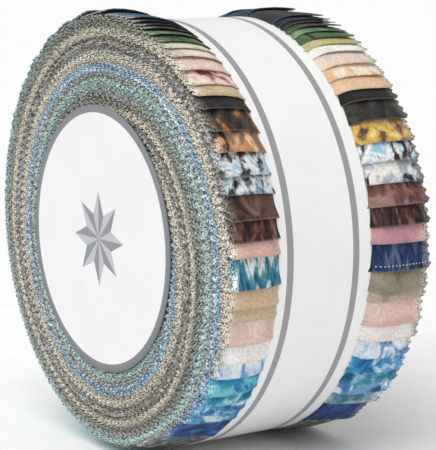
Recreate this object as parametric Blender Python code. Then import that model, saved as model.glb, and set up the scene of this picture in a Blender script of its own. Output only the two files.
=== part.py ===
"""A roll of forty quilting fabric strips in a paper band, with a round card on its front face.

The strips are folded in half, stacked, and wound together from their folds, so the stack makes a
spiral whose free ends come out one after another round the rim, like roof shingles.
The roll stands on its rim. Its axis runs along Y, its front face looks towards -Y, +Z is up, and
the origin is the bottom centre of the whole part's box. Angles run clockwise from the top as the
front face is seen, which is the way that the free ends point.
"""
import math
from collections import namedtuple

import bmesh
import bpy

MM = 0.001

# Fabric strips
STRIP_WIDTH = 63.5 * MM
STRIP_LENGTH = 1118.0 * MM
STRIP_COUNT = 40
RIM_RADIUS = 61.0 * MM
FOLDED_LENGTH = STRIP_LENGTH / 2
STACK_THICKNESS = math.pi * RIM_RADIUS ** 2 / FOLDED_LENGTH
FOLDED_STRIP = STACK_THICKNESS / STRIP_COUNT

# The roll's own weight presses the foot of the rim flat
AXIS_HEIGHT = 60.0 * MM

# The gap between one turn of the stack and the next, which ends in a small eye
TURN_GAP = 0.6 * MM
TURN_GAP_DEPTH = 0.1 * MM
EYE_RADIUS = 1.5 * MM
EYE_POINTS = 9
SPIRAL_STEP = math.radians(11.5)
SMOOTH_STEP = math.radians(6.5)

# Paper band and card
BAND_WIDTH = 29.4 * MM
BAND_CENTRE = 0.5 * MM
BAND_INNER_RADIUS = 57.6 * MM
BAND_THICKNESS = 1.0 * MM
CARD_RADIUS = 36.2 * MM
CARD_THICKNESS = 1.0 * MM
CARD_GAP = 0.3 * MM
ROUND_STEPS = 96

# How fast the pull of the band and the rounding of the rims fade towards the core
FADE_POWER = 8

# Where the first strip ends, and how much of each strip shows, in mm, beyond the end that covers it
FIRST_END = math.radians(14.5)
StripEnd = namedtuple("StripEnd", "shown lift")
STRIP_ENDS = [
    StripEnd(shown=12.3, lift=0.7), StripEnd(shown=3.0, lift=0.6), StripEnd(shown=2.4, lift=0.6),
    StripEnd(shown=2.8, lift=0.7), StripEnd(shown=3.0, lift=0.5), StripEnd(shown=3.6, lift=0.6),
    StripEnd(shown=3.2, lift=0.6), StripEnd(shown=3.7, lift=0.8), StripEnd(shown=5.2, lift=0.8),
    StripEnd(shown=4.6, lift=0.6), StripEnd(shown=4.2, lift=0.7), StripEnd(shown=3.8, lift=1.0),
    StripEnd(shown=6.3, lift=1.1), StripEnd(shown=5.9, lift=0.9), StripEnd(shown=5.7, lift=0.7),
    StripEnd(shown=5.3, lift=0.8), StripEnd(shown=6.2, lift=0.9), StripEnd(shown=5.3, lift=0.8),
    StripEnd(shown=4.2, lift=0.9), StripEnd(shown=7.7, lift=1.1), StripEnd(shown=5.2, lift=1.0),
    StripEnd(shown=3.1, lift=0.6), StripEnd(shown=7.1, lift=0.7), StripEnd(shown=4.9, lift=0.8),
    StripEnd(shown=5.4, lift=0.7), StripEnd(shown=5.9, lift=0.8), StripEnd(shown=4.5, lift=0.7),
    StripEnd(shown=4.6, lift=0.8), StripEnd(shown=5.3, lift=0.8), StripEnd(shown=13.3, lift=0.7),
    StripEnd(shown=14.9, lift=0.5), StripEnd(shown=12.2, lift=0.4), StripEnd(shown=120.8, lift=0.6),
    StripEnd(shown=11.7, lift=0.7), StripEnd(shown=10.6, lift=0.6), StripEnd(shown=10.6, lift=0.7),
    StripEnd(shown=10.6, lift=0.6), StripEnd(shown=10.6, lift=0.5), StripEnd(shown=10.6, lift=0.6),
    StripEnd(shown=11.7, lift=0.6),
]

# Sections across the roll, front to back, in mm: how far the rim draws in there, how much further
# it does so at its foot, and what share of an end's lift is left there
Section = namedtuple("Section", "along drop foot_drop lift_share")
SECTIONS = [
    Section(along=-31.75, drop=2.3, foot_drop=1.9, lift_share=0.9),
    Section(along=-31.0, drop=1.2, foot_drop=1.5, lift_share=1.0),
    Section(along=-29.2, drop=0.6, foot_drop=1.0, lift_share=1.0),
    Section(along=-23.5, drop=0.3, foot_drop=0.0, lift_share=0.7),
    Section(along=-15.8, drop=0.9, foot_drop=0.0, lift_share=0.3),
    Section(along=-14.5, drop=3.7, foot_drop=0.0, lift_share=0.0),
    Section(along=15.4, drop=3.7, foot_drop=0.0, lift_share=0.0),
    Section(along=16.8, drop=0.4, foot_drop=0.0, lift_share=0.4),
    Section(along=22.0, drop=0.0, foot_drop=0.0, lift_share=0.8),
    Section(along=30.4, drop=-0.3, foot_drop=0.0, lift_share=1.0),
    Section(along=31.75, drop=0.4, foot_drop=0.3, lift_share=1.0),
]

Place = namedtuple("Place", "angle radius lift")


def clear_scene():
    """Removes every object that the file opened with."""
    for item in list(bpy.data.objects):
        bpy.data.objects.remove(item, do_unlink=True)


def finish_of(name, colour, roughness):
    """Makes a plain material."""
    material = bpy.data.materials.new(name)
    material.use_nodes = True
    shader = material.node_tree.nodes["Principled BSDF"]
    shader.inputs["Base Color"].default_value = (*colour, 1.0)
    shader.inputs["Roughness"].default_value = roughness
    shader.inputs["Metallic"].default_value = 0.0
    return material


def add_object(name, mesh, material):
    """Turns a finished bmesh into a named object with smooth round faces."""
    bmesh.ops.recalc_face_normals(mesh, faces=mesh.faces)
    data = bpy.data.meshes.new(name)
    mesh.to_mesh(data)
    mesh.free()
    data.shade_smooth()
    data.set_sharp_from_angle(angle=math.radians(35))
    data.materials.append(material)
    item = bpy.data.objects.new(name, data)
    bpy.context.scene.collection.objects.link(item)
    return item


def end_angles():
    """Gives the angle at which each strip ends, from the arcs of cloth that show between them."""
    angles = [FIRST_END]
    for end in STRIP_ENDS[1:]:
        angles.append(angles[-1] + end.shown * MM / RIM_RADIUS)
    return angles


def strips_ended(angle, ends):
    """Gives how many strips have ended at an angle, counting the one that shows there in part."""
    turned = ends[-1] - math.tau + (angle - ends[-1]) % math.tau
    before = [ends[-1] - math.tau, *ends]
    for count, (start, end) in enumerate(zip(before, ends)):
        if turned <= end:
            return count + (turned - start) / (end - start)
    return STRIP_COUNT


def spiral_centre_line(ends):
    """Walks the gap between the turns, inwards from its mouth at the last strip's end."""
    points = [(ends[-1], RIM_RADIUS - TURN_GAP_DEPTH)]
    while True:
        turned = len(points) * SPIRAL_STEP
        ended = strips_ended(ends[-1] - turned, ends)
        layers = STRIP_COUNT * (math.floor(turned / math.tau) + 1) - ended
        radius = RIM_RADIUS - TURN_GAP_DEPTH - FOLDED_STRIP * layers
        if radius < 2 * EYE_RADIUS:
            return points
        points.append((ends[-1] - turned, radius))


def across(angle, radius):
    """Gives the place in the front view, across and up."""
    return radius * math.sin(angle), radius * math.cos(angle)


def to_place(across_axis, up):
    """Turns a place in the front view back into an angle and a radius."""
    return Place(math.atan2(across_axis, up), math.hypot(across_axis, up), 0.0)


def gap_walls(centre_line):
    """Gives the gap's outer wall going in, its eye, and its inner wall coming out."""
    flat = [across(angle, radius) for angle, radius in centre_line]
    outer_wall = []
    inner_wall = []
    for index, (x, z) in enumerate(flat):
        before = flat[max(index - 1, 0)]
        after = flat[min(index + 1, len(flat) - 1)]
        along_x = after[0] - before[0]
        along_z = after[1] - before[1]
        half = TURN_GAP / 2 / math.hypot(along_x, along_z)
        outer_wall.append(to_place(x - along_z * half, z + along_x * half))
        inner_wall.append(to_place(x + along_z * half, z - along_x * half))
    if outer_wall[0].radius < inner_wall[0].radius:
        outer_wall, inner_wall = inner_wall, outer_wall
    end_x, end_z = flat[-1]
    last_x, last_z = flat[-2]
    heading = math.atan2(end_z - last_z, end_x - last_x)
    eye_x = end_x + EYE_RADIUS * math.cos(heading)
    eye_z = end_z + EYE_RADIUS * math.sin(heading)
    opening = math.asin(TURN_GAP / 2 / EYE_RADIUS)
    sweep = math.tau - 4 * opening
    turn = outer_side(outer_wall[-1], flat[-1], heading)
    eye = []
    for index in range(EYE_POINTS):
        angle = heading + math.pi - turn * (2 * opening + sweep * index / (EYE_POINTS - 1))
        eye.append(to_place(eye_x + EYE_RADIUS * math.cos(angle), eye_z + EYE_RADIUS * math.sin(angle)))
    return outer_wall, eye, inner_wall[::-1]


def outer_side(wall_end, line_end, heading):
    """Says on which side of the heading a wall lies: 1 on the left, -1 on the right."""
    x, z = across(wall_end.angle, wall_end.radius)
    offset_x = x - line_end[0]
    offset_z = z - line_end[1]
    return 1 if math.cos(heading) * offset_z - math.sin(heading) * offset_x > 0 else -1


def shown_cloth(start, end, lift):
    """Walks the cloth that shows between one strip's end and the next, which rises by one strip."""
    low = RIM_RADIUS - FOLDED_STRIP
    count = max(round((end - start) / SMOOTH_STEP), 1)
    places = []
    for index in range(count):
        share = index / count
        places.append(Place(start + (end - start) * share, low + FOLDED_STRIP * share, 0.0))
    places[0] = Place(start + FOLDED_STRIP / RIM_RADIUS, low, 0.0)
    return [*places, Place(end, RIM_RADIUS, lift)]


def roll_outline():
    """Walks once round the roll's section: each strip's shown cloth, then in and out of the gap."""
    ends = end_angles()
    outer_wall, eye, inner_wall = gap_walls(spiral_centre_line(ends))
    starts = [ends[-1] - math.tau, *ends[:-1]]
    outline = []
    for start, end, row in zip(starts, ends, STRIP_ENDS):
        outline += shown_cloth(start, end, row.lift * MM)
    return outline[1:] + outer_wall + eye + inner_wall


def set_in_section(place, section):
    """Puts a place of the outline into one section, drawn in by the band and pressed at the foot."""
    fade = (place.radius / RIM_RADIUS) ** FADE_POWER
    footward = max(-math.cos(place.angle), 0.0) ** 2
    drop = (section.drop + section.foot_drop * footward) * MM
    radius = place.radius + place.lift * section.lift_share - drop * fade
    x, z = across(place.angle, radius)
    return x, section.along * MM, max(z, -AXIS_HEIGHT)


def build_roll(material):
    """Extrudes the wound section from the front face to the back, one section at a time."""
    outline = roll_outline()
    mesh = bmesh.new()
    tag = mesh.verts.layers.int.new("outline_place")
    ring = [mesh.verts.new(set_in_section(place, SECTIONS[0])) for place in outline]
    for index, vert in enumerate(ring):
        vert[tag] = index
    cap = mesh.faces.new(ring)
    for number, section in enumerate(SECTIONS[1:]):
        grown = bmesh.ops.extrude_face_region(mesh, geom=[cap])["geom"]
        if number > 0:
            bmesh.ops.delete(mesh, geom=[cap], context="FACES_ONLY")
        cap = next(item for item in grown if isinstance(item, bmesh.types.BMFace))
        for vert in cap.verts:
            vert.co = set_in_section(outline[vert[tag]], section)
    return add_object("roll", mesh, material)


def build_band(material):
    """Spins the paper band's thin section round the roll's axis."""
    mesh = bmesh.new()
    front = BAND_CENTRE - BAND_WIDTH / 2
    back = BAND_CENTRE + BAND_WIDTH / 2
    outer_radius = BAND_INNER_RADIUS + BAND_THICKNESS
    corners = [
        (BAND_INNER_RADIUS, front), (outer_radius, front), (outer_radius, back), (BAND_INNER_RADIUS, back),
    ]
    verts = [mesh.verts.new((radius, along, 0.0)) for radius, along in corners]
    edges = [mesh.edges.new((verts[index], verts[(index + 1) % 4])) for index in range(4)]
    bmesh.ops.spin(mesh, geom=edges, cent=(0, 0, 0), axis=(0, 1, 0), angle=math.tau,
                   steps=ROUND_STEPS, use_merge=True)
    bmesh.ops.remove_doubles(mesh, verts=mesh.verts, dist=0.00001)
    return add_object("band", mesh, material)


def build_card(material):
    """Makes the round card as a thin upright disc."""
    mesh = bmesh.new()
    bmesh.ops.create_cone(mesh, cap_ends=True, segments=ROUND_STEPS, radius1=CARD_RADIUS,
                          radius2=CARD_RADIUS, depth=CARD_THICKNESS)
    item = add_object("label", mesh, material)
    item.rotation_euler.x = math.pi / 2
    item.location.y = -(STRIP_WIDTH / 2 + CARD_GAP + CARD_THICKNESS / 2)
    return item


def stand_on_origin(pieces, roll):
    """Parents the pieces to an empty on the roll's axis, so that the box's bottom centre is 0."""
    axis = bpy.data.objects.new("roll_axis", None)
    bpy.context.scene.collection.objects.link(axis)
    sides = [vert.co.x for vert in roll.data.vertices]
    axis.location = (-(min(sides) + max(sides)) / 2, (CARD_GAP + CARD_THICKNESS) / 2, AXIS_HEIGHT)
    for piece in pieces:
        piece.parent = axis


def main():
    """Builds the three pieces."""
    clear_scene()
    cloth = finish_of("cotton_strips", (0.30, 0.33, 0.34), 0.9)
    paper = finish_of("band_paper", (0.88, 0.88, 0.87), 0.45)
    card = finish_of("label_card", (0.90, 0.90, 0.90), 0.6)
    roll = build_roll(cloth)
    band = build_band(paper)
    label = build_card(card)
    stand_on_origin([roll, band, label], roll)


main()
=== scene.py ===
"""Looks of a roll of forty quilting fabric strips in a paper band, with a round card on its front.

Each strip is cut flat at its real size with pinked long edges, folded in half, and wound with the
others round the roll's axis, so its ends, its layers and its pinked edges lie where cloth would
put them. Angles run clockwise from the top as the front face is seen.
"""
from __future__ import annotations

import logging
import math
import random
from dataclasses import dataclass, field
from enum import Enum

import bmesh
import bpy
import numpy as np
from mathutils import Matrix, Vector


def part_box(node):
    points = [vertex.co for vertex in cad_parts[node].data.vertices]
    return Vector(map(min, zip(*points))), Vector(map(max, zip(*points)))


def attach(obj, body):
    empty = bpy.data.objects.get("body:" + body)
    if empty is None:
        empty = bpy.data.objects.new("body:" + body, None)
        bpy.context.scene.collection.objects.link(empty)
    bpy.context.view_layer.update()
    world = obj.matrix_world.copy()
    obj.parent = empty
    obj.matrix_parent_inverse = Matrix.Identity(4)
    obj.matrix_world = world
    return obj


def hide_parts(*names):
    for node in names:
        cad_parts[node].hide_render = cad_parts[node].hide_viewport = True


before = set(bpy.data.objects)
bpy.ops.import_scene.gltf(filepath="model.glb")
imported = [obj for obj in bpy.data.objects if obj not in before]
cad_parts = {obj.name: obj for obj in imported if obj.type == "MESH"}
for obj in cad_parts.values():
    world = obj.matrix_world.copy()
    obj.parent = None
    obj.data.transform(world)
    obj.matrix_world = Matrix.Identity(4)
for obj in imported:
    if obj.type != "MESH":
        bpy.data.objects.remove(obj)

LOG = logging.getLogger("strip_roll")
MM = 0.001
BODY = "root"
CLOTH_MAP = "cloth"
SEED = 2040
CLOSE = 0.01 * MM


class Design(Enum):
    """The kinds of allover print, each a plain mottle with no motif."""

    CLOUDS = "soft clouds"
    GRUNGE = "fine brushed mottle"
    STREAKS = "streaks along the strip"
    SPECKLE = "fine specks"
    BLOTCHES = "hard-edged blotches"


@dataclass(frozen=True)
class Pinking:
    """How the strips are cut: their length and width, and the teeth along both long edges.

    Attributes:
        length: the cloth's width across the bolt, which the strips run along.
        width: the strip's width from tip to tip.
        depth: the teeth's depth.
        pitch: the teeth's pitch.
    """

    length: float = 1118.0 * MM
    width: float = 63.5 * MM
    depth: float = 1.15 * MM
    pitch: float = 2.4 * MM

    @property
    def columns(self) -> int:
        """Gives the number of cells along a strip, two to a tooth."""
        return 2 * round(self.length / self.pitch)

    @property
    def valley(self) -> float:
        """Gives how far from the strip's middle line the teeth's valleys lie."""
        return self.width / 2 - self.depth


PINKING = Pinking()


class Side(Enum):
    """Which part of the cloth a finish is for."""

    PRINT = "printed face"
    REVERSE = "paler reverse"
    CUT = "cut edge"


@dataclass(frozen=True)
class DesignSettings:
    """How a kind of print is drawn.

    Attributes:
        size: size of its marks in metres.
        stretch: how much longer the marks are along the strip.
        detail: number of finer octaves.
        warp: how much the marks wander.
        contrast: width of the tone ramp, smaller is harder.
    """

    size: float
    stretch: float
    detail: float
    warp: float
    contrast: float


DESIGNS = {
    Design.CLOUDS: DesignSettings(size=9.0 * MM, stretch=1.5, detail=4.0, warp=0.9, contrast=0.26),
    Design.GRUNGE: DesignSettings(size=6.0 * MM, stretch=1.2, detail=7.0, warp=0.4, contrast=0.34),
    Design.STREAKS: DesignSettings(size=2.1 * MM, stretch=4.0, detail=5.0, warp=0.8, contrast=0.15),
    Design.SPECKLE: DesignSettings(size=2.2 * MM, stretch=1.0, detail=6.0, warp=0.3, contrast=0.20),
    Design.BLOTCHES: DesignSettings(size=6.5 * MM, stretch=1.3, detail=6.0, warp=1.3, contrast=0.14),
}


@dataclass(frozen=True)
class Strip:
    """One strip of the roll, in the order in which the free ends come round the rim.

    Attributes:
        shown: arc of the strip, in mm, that shows beyond the end that covers it.
        lift: how far its free end stands off, in mm.
        design: kind of print.
        dyes: dark, middle and light colour of the print, as hex.
        near: the same for the half towards the front face, where the print changes tone.
        accent: one more colour, in scattered patches.
        pin_holes: whether its free end is a selvage with a row of pin holes.
    """

    shown: float
    lift: float
    design: Design
    dyes: tuple[str, ...]
    near: tuple[str, ...] = ()
    accent: str = ""
    pin_holes: bool = False


STRIPS = [
    Strip(12.3, 0.7, Design.CLOUDS, ("171D23", "2B333A", "4A535B"), near=("16303E", "27546A", "3A4650")),
    Strip(3.0, 0.6, Design.CLOUDS, ("10141B", "1F2733", "3E4856")),
    Strip(2.4, 0.6, Design.GRUNGE, ("121317", "25262B", "4A444E")),
    Strip(2.8, 0.7, Design.SPECKLE, ("171310", "302A23", "94835A"), accent="3F5A30"),
    Strip(3.0, 0.5, Design.CLOUDS, ("2A4628", "58795A", "9CB692"), near=("2C4229", "4E6848", "7E9A7A")),
    Strip(3.6, 0.6, Design.CLOUDS, ("223C26", "46673F", "7A9668"), accent="2B2F22"),
    Strip(3.2, 0.6, Design.CLOUDS, ("8A7D4C", "B8AF78", "D6D09C"), near=("B8AE84", "DAD8BA", "ECEADA")),
    Strip(3.7, 0.8, Design.CLOUDS, ("D2C8BC", "EFE9E0", "FAF8F2"), near=("BFA78E", "E4D6C4", "F5EEE4")),
    Strip(5.2, 0.8, Design.GRUNGE, ("C0A698", "DFCBC1", "EFE2DA"), near=("9A6C6A", "DDC4B6", "EFDFD4"),
          accent="E9D3B4"),
    Strip(4.6, 0.6, Design.BLOTCHES, ("DDB68C", "ECDFCE", "F6F0E6"), near=("7E3440", "E8CCBE", "F3E4D8"),
          accent="EFD9C0"),
    Strip(4.2, 0.7, Design.GRUNGE, ("B98A5E", "DDBC98", "F0DFCB"), near=("A08860", "CDB793", "E6D9C0")),
    Strip(3.8, 1.0, Design.GRUNGE, ("0E0B0B", "231F1E", "3E3838")),
    Strip(6.3, 1.1, Design.BLOTCHES, ("1E1A1A", "302C2C", "484840"), near=("1C1818", "3E322C", "C9803E"),
          accent="3A4030"),
    Strip(5.9, 0.9, Design.BLOTCHES, ("5A4148", "D8AE52", "E4CC88"), near=("2E2A32", "CE8F5C", "E6C8A2"),
          accent="8C6A5C"),
    Strip(5.7, 0.7, Design.BLOTCHES, ("2E2222", "ECEFF0", "9EC2DA"), near=("171313", "E2E6E8", "A8C6D6"),
          accent="3A2E2C"),
    Strip(5.3, 0.8, Design.BLOTCHES, ("141C2C", "A2ACB4", "E9E6DE"), near=("15181C", "DCE2E4", "6FA0C2"),
          accent="222A36"),
    Strip(6.2, 0.9, Design.BLOTCHES, ("43292A", "6E4A44", "9C786E"), near=("352622", "5C4238", "7C6054")),
    Strip(5.3, 0.8, Design.STREAKS, ("241615", "4A302E", "8A6E68"), near=("201615", "4E322E", "8A5C50"),
          accent="33201F"),
    Strip(4.2, 0.9, Design.GRUNGE, ("4C6580", "BC8A92", "E8C0B6"), near=("8A8E92", "D8B0A0", "EBD5C6")),
    Strip(7.7, 1.1, Design.STREAKS, ("12223E", "24395E", "5A6684"), near=("124460", "3F8298", "DCE4DA"),
          pin_holes=True),
    Strip(5.2, 1.0, Design.GRUNGE, ("665D4E", "948874", "C0B49E"), near=("B89C7C", "CDB494", "DFCBB0")),
    Strip(3.1, 0.6, Design.GRUNGE, ("8A7F6C", "B8A78E", "D8C8AE"), near=("B49C7C", "CBB594", "DCC9AA")),
    Strip(7.1, 0.7, Design.CLOUDS, ("D2ADA2", "E0C3B8", "ECD5CB")),
    Strip(4.9, 0.8, Design.CLOUDS, ("E2D0C8", "EFE5E0", "F8F5F2"), near=("E4DED6", "F2EEEA", "FAF9F7")),
    Strip(5.4, 0.7, Design.BLOTCHES, ("3F84C0", "D8E4EA", "F2F3F2"), near=("A8BCD2", "CEDBE7", "ECEEF0"),
          accent="68A4D4"),
    Strip(5.9, 0.8, Design.BLOTCHES, ("1A5F94", "3A8EBE", "C4DEE8"), near=("106C9C", "2592B0", "74C2CA"),
          accent="2C6CB0"),
    Strip(4.5, 0.7, Design.BLOTCHES, ("0E587C", "2C86A2", "90BECA"), near=("14628C", "2A8AAC", "A0D2D6")),
    Strip(4.6, 0.8, Design.BLOTCHES, ("184F88", "4580B2", "E0E9EC"), near=("124E8C", "3F86BC", "E4EAEC"),
          accent="6FA9CE"),
    Strip(5.3, 0.8, Design.BLOTCHES, ("3A7088", "789FB0", "CECABC"), near=("1C649A", "5496BA", "CCDAE0")),
    Strip(13.3, 0.7, Design.BLOTCHES, ("0A2456", "184480", "3A74A6")),
    Strip(14.9, 0.5, Design.SPECKLE, ("343A38", "666E6A", "B4B8B0")),
    Strip(12.2, 0.4, Design.SPECKLE, ("20262A", "434C4A", "8A918A")),
    Strip(120.8, 0.6, Design.CLOUDS, ("66A2A2", "9AC6C4", "D6E8E2")),
    Strip(11.7, 0.7, Design.GRUNGE, ("4F9498", "8ABCBA", "C8E0DA")),
    Strip(10.6, 0.6, Design.SPECKLE, ("44707A", "78A0A4", "BCCCC6")),
    Strip(10.6, 0.7, Design.CLOUDS, ("1F6E82", "5498A4", "A8CCCC")),
    Strip(10.6, 0.6, Design.STREAKS, ("14505F", "357C8A", "8AB6BA")),
    Strip(10.6, 0.5, Design.GRUNGE, ("1E4048", "456C76", "90AAAC")),
    Strip(10.6, 0.6, Design.CLOUDS, ("0E3540", "255A68", "5C8C96")),
    Strip(11.7, 0.6, Design.GRUNGE, ("0B1A20", "1B3C46", "466C78")),
]


def linear(code: str) -> tuple[float, float, float, float]:
    """Turns a hex colour into the linear one that shaders take.

    Args:
        code: six hex digits.

    Returns:
        Red, green, blue and an alpha of one.
    """
    parts = [int(code[index:index + 2], 16) / 255 for index in (0, 2, 4)]
    red, green, blue = [part / 12.92 if part <= 0.04045 else ((part + 0.055) / 1.055) ** 2.4
                        for part in parts]
    return red, green, blue, 1.0


def grey(value: float) -> tuple[float, float, float, float]:
    """Gives an even grey of this brightness."""
    return value, value, value, 1.0


class Bench:
    """A material's node tree, with short ways to add and join nodes."""

    def __init__(self, name: str) -> None:
        """Starts a material with its Principled shader.

        Args:
            name: the material's name.
        """
        self.material = bpy.data.materials.new(name)
        self.material.use_nodes = True
        self.nodes = self.material.node_tree.nodes
        self.links = self.material.node_tree.links
        self.shader = self.nodes["Principled BSDF"]

    def add(self, kind: str, **inputs: object) -> bpy.types.Node:
        """Adds a node and sets or links its inputs.

        Args:
            kind: the node's type, without its ShaderNode prefix.
            inputs: values or sockets by input name, with _ for a blank.

        Returns:
            The new node.
        """
        node = self.nodes.new("ShaderNode" + kind)
        for name, value in inputs.items():
            self.set(node.inputs[name.replace("_", " ")], value)
        return node

    def set(self, socket: bpy.types.NodeSocket, value: object) -> None:
        """Links a socket to another, or gives it a plain value.

        Args:
            socket: the input to fill.
            value: the output that it is linked to, or its plain value.
        """
        if isinstance(value, bpy.types.NodeSocket):
            self.links.new(value, socket)
        else:
            socket.default_value = value

    def coat(self, **inputs: object) -> None:
        """Sets or links the shader's own inputs by name, with _ for a blank."""
        for name, value in inputs.items():
            self.set(self.shader.inputs[name.replace("_", " ")], value)

    def math(self, operation: str, first: object, second: object = 0.0) -> bpy.types.NodeSocket:
        """Adds a Math node.

        Args:
            operation: what it works out.
            first: its first value or socket.
            second: its second value or socket.

        Returns:
            Its result.
        """
        node = self.nodes.new("ShaderNodeMath")
        node.operation = operation
        self.set(node.inputs[0], first)
        self.set(node.inputs[1], second)
        return node.outputs[0]

    def mix(self, factor: object, first: object, second: object, how: str = "MIX") -> bpy.types.NodeSocket:
        """Adds a colour mix.

        Args:
            factor: share of the second colour.
            first: the colour where the factor is 0.
            second: the colour where the factor is 1.
            how: the way that the two are mixed.

        Returns:
            The mixed colour.
        """
        node = self.nodes.new("ShaderNodeMix")
        node.data_type = "RGBA"
        node.blend_type = how
        self.set(node.inputs["Factor"], factor)
        self.set(node.inputs["A"], first)
        self.set(node.inputs["B"], second)
        return node.outputs["Result"]

    def ramp(self, factor: object, stops: list[tuple[float, tuple[float, ...]]]) -> bpy.types.NodeSocket:
        """Adds a colour ramp.

        Args:
            factor: socket to read.
            stops: place and colour of each stop.

        Returns:
            The ramp's colour.
        """
        node = self.nodes.new("ShaderNodeValToRGB")
        node.color_ramp.interpolation = "EASE"
        elements = node.color_ramp.elements
        while len(elements) < len(stops):
            elements.new(0.5)
        for element, (place, colour) in zip(elements, stops):
            element.position = place
            element.color = colour
        self.set(node.inputs["Fac"], factor)
        return node.outputs["Color"]

    def share(self, value: object, limits: tuple[float, float]) -> bpy.types.NodeSocket:
        """Adds a range that turns a value into a share.

        Args:
            value: socket to read.
            limits: the values that give 0 and 1.

        Returns:
            The share, held between 0 and 1.
        """
        node = self.add("MapRange", Value=value)
        node.inputs["From Min"].default_value = limits[0]
        node.inputs["From Max"].default_value = limits[1]
        return node.outputs[0]

    def split(self, vector: object) -> bpy.types.bpy_prop_collection:
        """Adds a split of a vector into its X, Y and Z, and gives its outputs."""
        return self.add("SeparateXYZ", Vector=vector).outputs

    def noise(self, vector: object, size: float, detail: float = 2.0,
              distortion: float = 0.0) -> bpy.types.NodeSocket:
        """Adds a noise texture.

        Args:
            vector: the coordinates that it is drawn on.
            size: size of its marks in those coordinates.
            detail: number of finer octaves.
            distortion: how much its marks wander.

        Returns:
            Its value, from 0 to 1.
        """
        node = self.add("TexNoise", Vector=vector, Scale=1.0 / size, Detail=detail, Distortion=distortion)
        return node.outputs["Fac"]

    def bump(self, height: object, depth: float) -> None:
        """Raises the shader's surface by a height from 0 to 1 times a depth in metres."""
        node = self.add("Bump", Strength=1.0, Distance=depth, Height=height)
        self.set(self.shader.inputs["Normal"], node.outputs["Normal"])


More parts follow.
